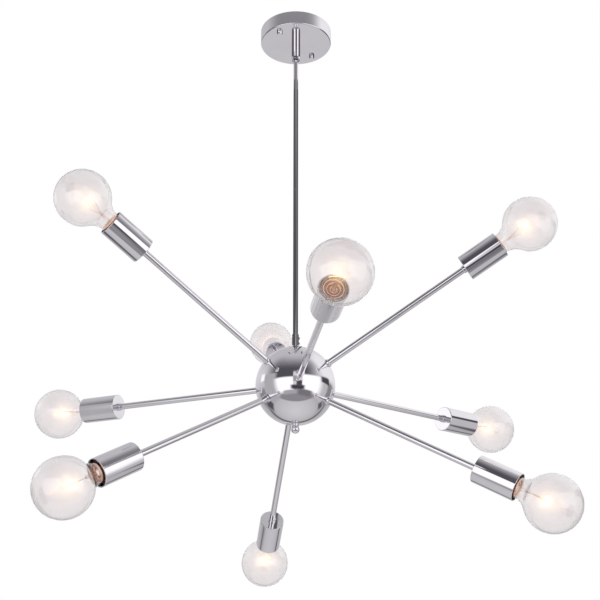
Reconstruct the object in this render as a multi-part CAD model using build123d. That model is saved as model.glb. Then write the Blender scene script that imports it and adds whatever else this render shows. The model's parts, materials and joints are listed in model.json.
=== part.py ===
from build123d import *
import os
from math import cos, isclose, radians, sin, sqrt

# Chandelier with three rings of lights on one ball hub, in millimetres, +Z up.
# The origin is the centre of the ceiling plane, where the canopy's rim and the crossbar's top face lie.
# Hub pieces are made about the hub's centre, and arm pieces along Z from the hub's centre.

# Canopy and crossbar
canopy_diameter = 120
canopy_height = 24
canopy_wall = 1.2
canopy_edge_round = 0.8
crossbar_width = 18
crossbar_thickness = 2
crossbar_overhang = 6.55
crossbar_turn = 45
outlet_screw_spacing = 69.85
outlet_screw_hole_radius = 2.2
stud_spacing = 88.9
stud_radius = 2
stud_clearance = 0.3
thumb_nut_radius = 5
thumb_nut_height = 5.5
thumb_nut_crown = 1.5
thumb_nut_edge = 0.6
ground_screw_at = 17
ground_screw_radius = 1.75
ground_head_radius = 3.5
ground_head_height = 2.2
ground_slot_width = 1

# Swivel hanger under the canopy
sleeve_radius = 7.5
sleeve_length = 32
sleeve_wall = 1.5
sleeve_lip = 1.4
sleeve_lip_height = 2
sleeve_mouth_wall = 0.7
sleeve_mouth_depth = 2
stem_radius = 4.85
stem_height = 10
stem_bore = 2.5
plug_depth = 8
lock_nut_wall = 2.15
lock_nut_height = 4
ball_gap = 0.5
ball_above_lip = 4.5
ball_neck_radius = 2.5
ball_wire_bore = 1.4
seat_height = 3
seat_ledge = 1.3
running_clearance = 0.05
seat_lift = 0.02

# Down rod
rod_radius = 4
rod_wall = 1
rod_length = 249
spigot_length = 12
joiner_wire_bore = 1.6

# Hub, its coupler and its finial
hub_radius = 60
hub_wall = 1.5
hub_seam_elevation = 14.5
hub_lip_wall = 1.2
hub_lip_half_height = 3
coupler_wall = 1.2
coupler_height = 22
coupler_step = 4.5
coupler_edge = 0.4
set_screw_above_step = 3
set_screw_below_top = 6
set_screw_radius = 1.25
set_screw_head_radius = 1.9
set_screw_head_height = 1.5
tie_radius = 3
tie_bore = 1.8
tie_cross_hole = 1.6
tie_tail = 5.5
finial_ball_radius = 6.5
finial_drop = 7.3
finial_collar_wall = 2.5
finial_collar_height = 1.8
finial_neck_wall = 1.2

# Arms
arm_radius = 4.75
arm_wall = 1
arm_length = 247
arm_root_depth = 10
arm_tail = 12
collar_wall = 1.5
collar_height = 2.8
collar_edge = 0.6
arm_nut_wall = 2.25
arm_nut_height = 4.5

# Socket cups and lampholders
cup_length = 62
cup_wall = 1.5
cup_rear_wall = 2
holder_wall = 3.55
holder_gap = 1.25
holder_boss_wall = 4.25
holder_boss_length = 13
holder_base = 14
holder_depth = 27
holder_pocket_step = 3.45
holder_pocket_depth = 6
holder_wire_bore = 2.5
shell_wall = 0.4
shell_length = 20
contact_radius = 6
contact_plate = 0.6
contact_height = 1.95
contact_tongue_radius = 3.5

# Bulbs: globe with a round neck and a 26 mm screw cap
globe_radius = 40
glass_wall = 0.8
neck_radius = 15
neck_length = 7.2
neck_bend_radius = 10
neck_flare = 5
glass_insert = 3.5
cap_radius = 13
cap_wall = 0.6
cap_length = 26.5
cap_thread_length = 19.3
cap_tail_inset = 1
cap_tail_length = 20.7
cap_base = 9
cap_insulator_radius = 6
cap_insulator_height = 2.5
cap_button_radius = 4.5
cap_button_height = 1.5
bulb_stem_flange = 1
bulb_stem_radius = 3.5
bulb_stem_flare = 2.5
bulb_stem_flare_height = 8
bulb_stem_length = 25
wire_radius = 0.35
filament_radius = 0.45
lead_foot = 1.6
lead_foot_depth = 6
lead_spread = 11
lead_rise = 18
filament_rise = 4
support_spread = 4
support_foot_depth = 2

# Where each light points: elevation above the horizontal, and azimuth from -Y towards +X
upper_ring = 28.5
middle_ring = 0.5
lower_ring = -29.3
lower_turn = 1.2
lights = {
    "upper_left": (upper_ring, -60),
    "upper_right": (upper_ring, 60),
    "upper_back": (upper_ring, 180),
    "middle_front": (middle_ring, 0),
    "middle_right": (middle_ring, 120),
    "middle_left": (middle_ring, 240),
    "lower_left": (lower_ring, -60 + lower_turn),
    "lower_right": (lower_ring, 60 + lower_turn),
    "lower_back": (lower_ring, 180 + lower_turn),
}

# Radii that follow from the pieces they hold or go round
sleeve_bore = sleeve_radius - sleeve_wall
ball_radius = sleeve_bore - ball_gap
rod_bore = rod_radius - rod_wall
hub_inside = hub_radius - hub_wall
coupler_radius = rod_radius + coupler_wall
arm_bore = arm_radius - arm_wall
shell_bore = cap_radius + running_clearance
shell_pocket = shell_bore + shell_wall
holder_radius = shell_pocket + holder_wall
cup_bore = holder_radius + holder_gap
cup_radius = cup_bore + cup_wall
cap_bore = cap_radius - cap_wall

# Heights from the ceiling down to the hub
canopy_floor = -canopy_height
sleeve_mouth = canopy_floor - sleeve_length
sleeve_lip_low = sleeve_mouth + sleeve_mouth_depth
sleeve_lip_high = sleeve_lip_low + sleeve_lip_height
ball_height = sleeve_lip_high + ball_above_lip
rod_joint = sleeve_mouth - rod_length
hub_centre = rod_joint - rod_length - coupler_height - hub_radius

# Distances along an arm, from the hub's centre out to the globe
cup_rear = hub_radius + arm_length
cup_floor = cup_rear + cup_rear_wall
cup_mouth = cup_rear + cup_length
arm_end = cup_rear + arm_tail
holder_shoulder = cup_floor + holder_boss_length
holder_floor = holder_shoulder + holder_base
holder_step = holder_floor + holder_pocket_depth
cap_tip = holder_floor + contact_height + running_clearance
cap_rim = cap_tip + cap_length
glass_low = cap_rim - glass_insert
bulb_stem_top = glass_low + bulb_stem_length
neck_low = cap_rim + neck_flare
neck_high = neck_low + neck_length
neck_to_globe = sqrt((globe_radius + neck_bend_radius) ** 2 - (neck_radius + neck_bend_radius) ** 2)
globe_centre = neck_high + neck_to_globe


def turned(*outline):
    """Solid turned about Z from an outline of (radius, height) points."""
    points = [(radius, 0, height) for radius, height in outline]
    return revolve(make_face(Polyline(*points, close=True)), Axis.Z)


def tube(outer, inner, low, high):
    """Straight tube about Z."""
    return turned((inner, low), (outer, low), (outer, high), (inner, high))


def rod(radius, low, high):
    """Straight round bar about Z."""
    return turned((0, low), (radius, low), (radius, high), (0, high))


def hex_nut(bore, wall, low, high):
    """Six-sided nut about Z, with its least wall outside the bore."""
    blank = extrude(RegularPolygon(bore + wall, 6, major_radius=False), high - low)
    return Pos(0, 0, low) * blank - rod(bore, low, high)


def wire(start, end, radius):
    """Straight piece of wire between two points."""
    path = Vector(*end) - Vector(*start)
    return Solid.make_cylinder(radius, path.length, Plane(origin=start, z_dir=path))


def rounded(solid, radius, height, round_radius):
    """The solid with its circular edge of that radius and height rounded."""
    edges = [
        edge
        for edge in solid.edges().filter_by(GeomType.CIRCLE)
        if isclose(edge.radius, radius) and isclose(edge.center().Z, height)
    ]
    return fillet(edges, round_radius)


def light_frame(elevation, azimuth):
    """Frame at the hub's centre with its Z along the arm."""
    up = radians(elevation)
    turn = radians(azimuth)
    out = (sin(turn) * cos(up), -cos(turn) * cos(up), sin(up))
    side = (cos(turn), sin(turn), 0)
    return Plane(origin=(0, 0, hub_centre), x_dir=side, z_dir=out).location


def at_crossbar(distance):
    """Place on the crossbar's centre line, at a distance from the origin."""
    return Pos(distance * cos(radians(crossbar_turn)), distance * sin(radians(crossbar_turn)))


stud_places = [at_crossbar(side * stud_spacing / 2) for side in (-1, 1)]
outlet_places = [at_crossbar(side * outlet_screw_spacing / 2) for side in (-1, 1)]
ground_place = at_crossbar(ground_screw_at)
frames = {name: light_frame(*aim) for name, aim in lights.items()}


def make_canopy():
    """Shallow round pan, open to the ceiling, with holes for the stem and the studs."""
    radius = canopy_diameter / 2
    inside = radius - canopy_wall
    top_of_floor = canopy_floor + canopy_wall
    pan = turned(
        (stem_radius, canopy_floor),
        (radius, canopy_floor),
        (radius, 0),
        (inside, 0),
        (inside, top_of_floor),
        (stem_radius, top_of_floor),
    )
    pan = rounded(pan, radius, canopy_floor, canopy_edge_round)
    for place in stud_places:
        pan -= place * rod(stud_radius + stud_clearance, canopy_floor, top_of_floor)
    return pan


def make_crossbar():
    """Flat steel bar with round ends that is screwed to the outlet box."""
    length = stud_spacing + 2 * crossbar_overhang
    bar = extrude(SlotOverall(length, crossbar_width), -crossbar_thickness)
    bar = Rot(0, 0, crossbar_turn) * bar
    bar -= rod(stem_radius, -crossbar_thickness, 0)
    for place in outlet_places:
        bar -= place * rod(outlet_screw_hole_radius, -crossbar_thickness, 0)
    for place in stud_places:
        bar -= place * rod(stud_radius, -crossbar_thickness, 0)
    return bar - ground_place * rod(ground_screw_radius, -crossbar_thickness, 0)


def make_stud():
    """Threaded stud from the crossbar's top face into the thumb nut."""
    return rod(stud_radius, canopy_floor - thumb_nut_height + thumb_nut_crown, 0)


def make_thumb_nut():
    """Round blind nut that holds the canopy up on a stud."""
    low = canopy_floor - thumb_nut_height
    nut = rod(thumb_nut_radius, low, canopy_floor)
    return rounded(nut, thumb_nut_radius, low, thumb_nut_edge) - make_stud()


def make_ground_screw():
    """Slotted pan-head screw on the crossbar."""
    under = -crossbar_thickness
    head_low = under - ground_head_height
    screw = rod(ground_screw_radius, under, 0) + rod(ground_head_radius, head_low, under)
    slot = Box(2 * ground_head_radius, ground_slot_width, ground_head_height)
    return screw - Pos(0, 0, head_low) * slot


def make_hanger_plug():
    """Plug that closes the sleeve, with a threaded stem up through the canopy."""
    top = canopy_floor + stem_height
    low = canopy_floor - plug_depth
    return turned(
        (stem_bore, low),
        (sleeve_bore, low),
        (sleeve_bore, canopy_floor),
        (stem_radius, canopy_floor),
        (stem_radius, top),
        (stem_bore, top),
    )


def make_stem_lock_nut():
    """Nut that clamps the canopy between itself and the sleeve."""
    low = canopy_floor + canopy_wall
    return hex_nut(stem_radius, lock_nut_wall, low, low + lock_nut_height)


def make_hanger_sleeve():
    """Sleeve with a lip that carries the swivel seat, and a wider mouth below the lip."""
    mouth_bore = sleeve_radius - sleeve_mouth_wall
    lip_bore = sleeve_bore - sleeve_lip
    return turned(
        (sleeve_bore, canopy_floor),
        (sleeve_radius, canopy_floor),
        (sleeve_radius, sleeve_mouth),
        (mouth_bore, sleeve_mouth),
        (mouth_bore, sleeve_lip_low),
        (lip_bore, sleeve_lip_low),
        (lip_bore, sleeve_lip_high),
        (sleeve_bore, sleeve_lip_high),
    )


def make_swivel_seat():
    """Ring with a ball-shaped seat, free to turn on the sleeve's lip."""
    low = sleeve_lip_high + seat_lift
    high = sleeve_lip_high + seat_height
    ring = tube(sleeve_bore - running_clearance, ball_radius - seat_ledge, low, high)
    return ring - Pos(0, 0, ball_height) * Sphere(ball_radius + running_clearance)


def make_swivel_ball():
    """Ball on a thin neck, with a spigot into the upper rod and a wire passage through it."""
    low = sleeve_mouth - spigot_length
    ball = Pos(0, 0, ball_height) * Sphere(ball_radius)
    ball += rod(ball_neck_radius, sleeve_mouth, ball_height)
    ball += rod(rod_bore, low, sleeve_mouth)
    return ball - rod(ball_wire_bore, low, ball_height + ball_radius)


def make_rod_joiner():
    """Threaded tube that joins the two rods end to end."""
    return tube(rod_bore, joiner_wire_bore, rod_joint - spigot_length, rod_joint + spigot_length)


def make_hub_shells():
    """Two spun shells that meet above the middle ring, with a lip inside the lower one."""
    skin = Sphere(hub_radius) - Sphere(hub_inside)
    for frame in frames.values():
        skin -= Pos(0, 0, -hub_centre) * frame * rod(arm_radius, hub_radius - arm_root_depth, cup_rear)
    skin -= rod(tie_radius, -hub_radius, hub_radius)
    seam = hub_radius * sin(radians(hub_seam_elevation))
    block = 2 * hub_radius
    above = Pos(0, 0, seam + block / 2) * Box(block, block, block)
    below = Pos(0, 0, seam - block / 2) * Box(block, block, block)
    lip = Sphere(hub_inside) - Sphere(hub_inside - hub_lip_wall)
    lip &= Pos(0, 0, seam) * Box(block, block, 2 * hub_lip_half_height)
    return skin & above, (skin & below) + lip


def make_hub_coupler():
    """Sleeve that joins the down rod to the hub, cut to the hub's curve."""
    top = hub_radius + coupler_height
    step = hub_radius + coupler_step
    low = sqrt(hub_radius**2 - coupler_radius**2)
    coupler = turned(
        (tie_radius, low),
        (coupler_radius, low),
        (coupler_radius, top),
        (rod_radius, top),
        (rod_radius, step),
        (tie_radius, step),
    )
    coupler = rounded(coupler, coupler_radius, top, coupler_edge) - Sphere(hub_radius)
    for height in set_screw_heights():
        coupler -= Pos(0, 0, height) * Rot(0, 90, 0) * rod(set_screw_radius, 0, coupler_radius)
    return coupler


def set_screw_heights():
    """Heights of the coupler's two screws, one near its step and one near its top."""
    low = hub_radius + coupler_step + set_screw_above_step
    high = hub_radius + coupler_height - set_screw_below_top
    return low, high


def make_set_screw(height):
    """Small screw through the coupler's wall onto the rod."""
    head_end = coupler_radius + set_screw_head_height
    screw = rod(set_screw_radius, rod_radius, coupler_radius)
    screw += rod(set_screw_head_radius, coupler_radius, head_end)
    return Pos(0, 0, height) * Rot(0, 90, 0) * screw


def make_tie_tube():
    """Threaded tube from the coupler to the finial that clamps the two hub shells."""
    tie = tube(tie_radius, tie_bore, -hub_radius - tie_tail, hub_radius + coupler_step)
    return tie - Rot(0, 90, 0) * Cylinder(tie_cross_hole, 2 * tie_radius)


def make_finial():
    """Ball nut under the hub, with a neck and a collar cut to the hub's curve."""
    ball_centre = -hub_radius - finial_drop
    collar_radius = tie_radius + finial_collar_wall
    collar_high = -sqrt(hub_radius**2 - collar_radius**2)
    collar_low = -hub_radius - finial_collar_height
    finial = Pos(0, 0, ball_centre) * Sphere(finial_ball_radius)
    finial += rod(tie_radius + finial_neck_wall, ball_centre, -hub_radius)
    finial += rod(collar_radius, collar_low, collar_high)
    finial -= rod(tie_radius, -hub_radius - tie_tail, collar_high)
    return finial - Sphere(hub_radius)


def make_arm():
    """Straight tube from inside the hub to inside the socket cup."""
    return tube(arm_radius, arm_bore, hub_radius - arm_root_depth, arm_end)


def make_collar():
    """Ring round an arm's root, cut to the hub's curve."""
    radius = arm_radius + collar_wall
    top = hub_radius + collar_height
    collar = tube(radius, arm_radius, hub_inside, top)
    return rounded(collar, radius, top, collar_edge) - Sphere(hub_radius)


def make_arm_nut():
    """Lock nut inside the hub, cut to the shell's inner curve."""
    nut = hex_nut(arm_radius, arm_nut_wall, hub_inside - arm_nut_height, hub_inside)
    return nut & Sphere(hub_inside)


def make_cup():
    """Round socket cup with a flat rear wall."""
    return turned(
        (arm_radius, cup_rear),
        (cup_radius, cup_rear),
        (cup_radius, cup_mouth),
        (cup_bore, cup_mouth),
        (cup_bore, cup_floor),
        (arm_radius, cup_floor),
    )


def make_holder():
    """Insulating lampholder body on the arm's end, with a pocket for the screw shell and the contact."""
    boss_radius = arm_radius + holder_boss_wall
    contact_pocket = shell_pocket - holder_pocket_step
    mouth = holder_floor + holder_depth
    return turned(
        (arm_radius, cup_floor),
        (boss_radius, cup_floor),
        (boss_radius, holder_shoulder),
        (holder_radius, holder_shoulder),
        (holder_radius, mouth),
        (shell_pocket, mouth),
        (shell_pocket, holder_step),
        (contact_pocket, holder_step),
        (contact_pocket, holder_floor),
        (holder_wire_bore, holder_floor),
        (holder_wire_bore, arm_end),
        (arm_radius, arm_end),
    )


def make_screw_shell():
    """Thin metal shell that takes the bulb's cap."""
    return tube(shell_pocket, shell_bore, holder_step, holder_step + shell_length)


def make_contact():
    """Centre contact under the bulb's tip."""
    plate_top = holder_floor + contact_plate
    plate = rod(contact_radius, holder_floor, plate_top)
    return plate + rod(contact_tongue_radius, plate_top, holder_floor + contact_height)


def glass_curve(inset):
    """Half outline of the bulb's glass, from the foot of the neck to the tip, moved in by the inset."""
    foot = cap_bore - inset
    neck = neck_radius - inset
    ball_middle = Vector(0, 0, globe_centre)
    bend_middle = Vector(neck_radius + neck_bend_radius, 0, neck_high)
    to_bend = (bend_middle - ball_middle).normalized()
    half_way = (Vector(-1, 0, 0) - to_bend).normalized()
    join = ball_middle + to_bend * (globe_radius - inset)
    neck_top = Vector(neck, 0, neck_high)
    side = ball_middle + Vector(globe_radius - inset, 0, 0)
    tip = ball_middle + Vector(0, 0, globe_radius - inset)
    neck_sides = Polyline((foot, 0, glass_low), (foot, 0, cap_rim), (neck, 0, neck_low), neck_top)
    neck_arc = ThreePointArc(neck_top, bend_middle + half_way * (neck_bend_radius + inset), join)
    return neck_sides + neck_arc + ThreePointArc(join, side, tip)


def make_glass():
    """Clear glass globe with its neck, open at the foot where the cap takes it."""
    foot_edge = Line((cap_bore, 0, glass_low), (cap_bore - glass_wall, 0, glass_low))
    tip = globe_centre + globe_radius
    tip_edge = Line((0, 0, tip), (0, 0, tip - glass_wall))
    outline = glass_curve(0) + tip_edge + glass_curve(glass_wall) + foot_edge
    return revolve(make_face(outline), Axis.Z)


def make_cap():
    """Screw cap of a bulb, with its insulator and tip contact."""
    return turned(
        (0, cap_tip),
        (cap_button_radius, cap_tip),
        (cap_button_radius, cap_tip + cap_button_height),
        (cap_insulator_radius, cap_tip + cap_insulator_height),
        (cap_radius - cap_tail_inset, cap_rim - cap_tail_length),
        (cap_radius, cap_rim - cap_thread_length),
        (cap_radius, cap_rim),
        (cap_bore, cap_rim),
        (cap_bore, cap_tip + cap_base),
        (0, cap_tip + cap_base),
    )


def make_filament():
    """Lead wires, support wires and the bowed filament between the lead tips."""
    tip_at = bulb_stem_top + lead_rise
    left = (-lead_spread, 0, tip_at)
    right = (lead_spread, 0, tip_at)
    bow = ThreePointArc(left, (0, 0, tip_at + filament_rise), right)
    frame = sweep(Plane(origin=left, z_dir=bow % 0) * Circle(filament_radius), path=bow)
    support_foot = (0, 0, bulb_stem_top - support_foot_depth)
    for side in (-1, 1):
        foot = (side * lead_foot, 0, bulb_stem_top - lead_foot_depth)
        frame += wire(foot, (side * lead_spread, 0, tip_at), wire_radius)
        bow_point = bow @ (0.5 + side * support_spread / (2 * lead_spread))
        frame += wire(support_foot, bow_point, wire_radius)
    return frame


def make_bulb_stem(filament):
    """Glass stem that stands in the neck and holds the wires."""
    flange = cap_bore - glass_wall
    flange_top = glass_low + bulb_stem_flange
    stem = turned(
        (0, glass_low),
        (flange, glass_low),
        (flange, flange_top),
        (bulb_stem_radius + bulb_stem_flare, flange_top),
        (bulb_stem_radius, flange_top + bulb_stem_flare_height),
        (bulb_stem_radius, bulb_stem_top),
        (0, bulb_stem_top),
    )
    return stem - filament


def at_each_arm(piece):
    """Copies of a piece, one on every arm."""
    return Compound([frame * piece for frame in frames.values()])


at_hub = Pos(0, 0, hub_centre)
upper_shell, lower_shell = make_hub_shells()
nodes = {
    "canopy": make_canopy(),
    "crossbar": make_crossbar(),
    "canopy_studs": Compound([place * make_stud() for place in stud_places]),
    "canopy_thumb_nuts": Compound([place * make_thumb_nut() for place in stud_places]),
    "ground_screw": ground_place * make_ground_screw(),
    "hanger_plug": make_hanger_plug(),
    "stem_lock_nut": make_stem_lock_nut(),
    "hanger_sleeve": make_hanger_sleeve(),
    "swivel_seat": make_swivel_seat(),
    "swivel_ball": make_swivel_ball(),
    "upper_rod": tube(rod_radius, rod_bore, rod_joint, sleeve_mouth),
    "lower_rod": tube(rod_radius, rod_bore, hub_centre + hub_radius + coupler_step, rod_joint),
    "rod_joiner": make_rod_joiner(),
    "hub_coupler": at_hub * make_hub_coupler(),
    "coupler_set_screws": at_hub * Compound([make_set_screw(height) for height in set_screw_heights()]),
    "hub_upper_shell": at_hub * upper_shell,
    "hub_lower_shell": at_hub * lower_shell,
    "hub_tie_tube": at_hub * make_tie_tube(),
    "finial": at_hub * make_finial(),
    "arm_collars": at_each_arm(make_collar()),
    "arm_lock_nuts": at_each_arm(make_arm_nut()),
    "lamp_holders": at_each_arm(make_holder()),
    "screw_shells": at_each_arm(make_screw_shell()),
    "centre_contacts": at_each_arm(make_contact()),
}
arm = make_arm()
cup = make_cup()
glass = make_glass()
filament = make_filament()
bulb_core = [make_cap(), make_bulb_stem(filament), filament]
for name, frame in frames.items():
    nodes[f"arm_{name}"] = frame * arm
    nodes[f"cup_{name}"] = frame * cup
    nodes[f"bulb_glass_{name}"] = frame * glass
    nodes[f"bulb_core_{name}"] = Compound([frame * piece for piece in bulb_core])

os.makedirs("parts", exist_ok=True)
for name, shape in nodes.items():
    export_step(shape, f"parts/{name}.step")
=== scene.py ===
"""Polished chandelier with nine lit globes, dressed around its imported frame."""

import itertools
import json
import math
from typing import NamedTuple

import bpy
from bpy.props import FloatProperty, FloatVectorProperty, IntProperty, PointerProperty
from mathutils import Matrix, Vector

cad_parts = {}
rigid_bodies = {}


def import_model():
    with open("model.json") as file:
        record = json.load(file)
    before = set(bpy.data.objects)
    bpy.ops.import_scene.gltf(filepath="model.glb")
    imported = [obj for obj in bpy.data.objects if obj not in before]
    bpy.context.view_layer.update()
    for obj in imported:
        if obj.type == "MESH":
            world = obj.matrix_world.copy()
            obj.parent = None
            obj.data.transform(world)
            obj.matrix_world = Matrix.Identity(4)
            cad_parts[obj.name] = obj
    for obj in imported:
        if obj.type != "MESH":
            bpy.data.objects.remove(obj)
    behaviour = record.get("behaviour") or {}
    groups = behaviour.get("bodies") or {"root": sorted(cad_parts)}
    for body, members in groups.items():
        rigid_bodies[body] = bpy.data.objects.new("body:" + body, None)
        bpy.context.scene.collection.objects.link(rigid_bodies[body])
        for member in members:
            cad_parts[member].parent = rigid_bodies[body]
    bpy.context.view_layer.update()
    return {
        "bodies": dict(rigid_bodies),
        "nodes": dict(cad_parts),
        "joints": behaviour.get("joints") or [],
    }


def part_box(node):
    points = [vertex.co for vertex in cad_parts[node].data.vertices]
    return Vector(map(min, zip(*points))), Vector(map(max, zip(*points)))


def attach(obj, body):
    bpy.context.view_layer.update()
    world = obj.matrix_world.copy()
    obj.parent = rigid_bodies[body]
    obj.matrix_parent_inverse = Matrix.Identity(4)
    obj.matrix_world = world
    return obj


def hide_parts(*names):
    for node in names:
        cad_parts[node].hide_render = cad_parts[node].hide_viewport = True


bl_info = {
    "name": "Ball hub chandelier",
    "version": (1, 0, 0),
    "blender": (4, 5, 0),
    "location": "3D View > Sidebar > Chandelier",
    "description": "Polished metal, clear globes and studio stage for a ball hub chandelier",
    "category": "Object",
}

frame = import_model()

MM = 0.001
UP = Vector((0, 0, 1))
CEILING = Vector((0, 0, 0))
SHARP_ANGLE = math.radians(40)
MERGE_DISTANCE = 0.0005 * MM

JOINTS = {joint["name"]: joint for joint in frame["joints"]}
LIGHTS = [body[len("bulb_"):] for body in frame["bodies"] if body.startswith("bulb_")]


# Places measured on the frame

def arm_line(light):
    """Hub centre and outward direction of the arm that carries a light."""
    joint = JOINTS[f"bulb_{light}_turn"]
    globe = Vector(joint["pos_m"])
    out = Vector(joint["axis"]).normalized()
    reach = globe.xy.length / out.xy.length
    return globe - out * reach, out


def span(node, start, axis):
    """Low end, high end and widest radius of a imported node, along an axis."""
    offsets = [vertex.co - start for vertex in frame["nodes"][node].data.vertices]
    heights = [offset.dot(axis) for offset in offsets]
    radii = [(offset - axis * height).length for offset, height in zip(offsets, heights)]
    return min(heights), max(heights), max(radii)


def arm_place(light):
    """Matrix from the hub's own frame to an arm, with Z out along the arm."""
    hub, out = arm_line(light)
    side = UP.cross(out).normalized()
    across = out.cross(side)
    turn = Matrix((side, across, out)).transposed().to_4x4()
    return Matrix.Translation(hub) @ turn


HUB, FRONT = arm_line("middle_front")
GLOBE_CENTRE = (Vector(JOINTS["bulb_middle_front_turn"]["pos_m"]) - HUB).length
CANOPY_LOW, CANOPY_TOP, CANOPY_RADIUS = span("canopy", CEILING, UP)
STEM_RADIUS = 4.85 * MM
SLEEVE_LOW, SLEEVE_TOP, SLEEVE_RADIUS = span("hanger_sleeve", CEILING, UP)
UPPER_ROD_LOW, UPPER_ROD_TOP, ROD_RADIUS = span("upper_rod", CEILING, UP)
LOWER_ROD_LOW, LOWER_ROD_TOP, _ = span("lower_rod", CEILING, UP)
COUPLER_LOW, COUPLER_TOP, COUPLER_RADIUS = span("hub_coupler", HUB, UP)
FINIAL_LOW, FINIAL_TOP, FINIAL_RADIUS = span("finial", HUB, UP)
TIE_RADIUS = span("hub_tie_tube", HUB, UP)[2]
HUB_RADIUS = span("hub_lower_shell", HUB, UP)[2]
HUB_SEAM = span("hub_upper_shell", HUB, UP)[0]
ARM_ROOT, ARM_END, ARM_RADIUS = span("arm_middle_front", HUB, FRONT)
CUP_REAR, CUP_MOUTH, CUP_RADIUS = span("cup_middle_front", HUB, FRONT)
GLASS_FOOT, _, GLOBE_RADIUS = span("bulb_glass_middle_front", HUB, FRONT)
CAP_TIP, FILAMENT_TOP, CAP_RADIUS = span("bulb_core_middle_front", HUB, FRONT)


def length(name, description, millimetres):
    """Length property with its default given in millimetres."""
    return FloatProperty(
        name=name, description=description, default=millimetres * MM, min=0, precision=5, unit="LENGTH"
    )


def colour(name, description, red, green, blue):
    """Linear colour property."""
    return FloatVectorProperty(
        name=name, description=description, default=(red, green, blue), min=0, soft_max=1, subtype="COLOR"
    )


def level(name, description, default):
    """Plain number property that can't be negative."""
    return FloatProperty(name=name, description=description, default=default, min=0, precision=4)


def count(name, description, default):
    """Whole number property."""
    return IntProperty(name=name, description=description, default=default, min=4)


def distance(name, description, metres):
    """Stage distance property, in metres."""
    return FloatProperty(name=name, description=description, default=metres, min=0.1, unit="LENGTH")


def turning(name, description, degrees):
    """Angle property with its default given in degrees."""
    return FloatProperty(
        name=name, description=description, default=math.radians(degrees), subtype="ANGLE"
    )


def standing(name, description, *millimetres):
    """Place property with its default given in millimetres."""
    return FloatVectorProperty(
        name=name, description=description, default=[MM * value for value in millimetres],
        subtype="XYZ", unit="LENGTH",
    )


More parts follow.
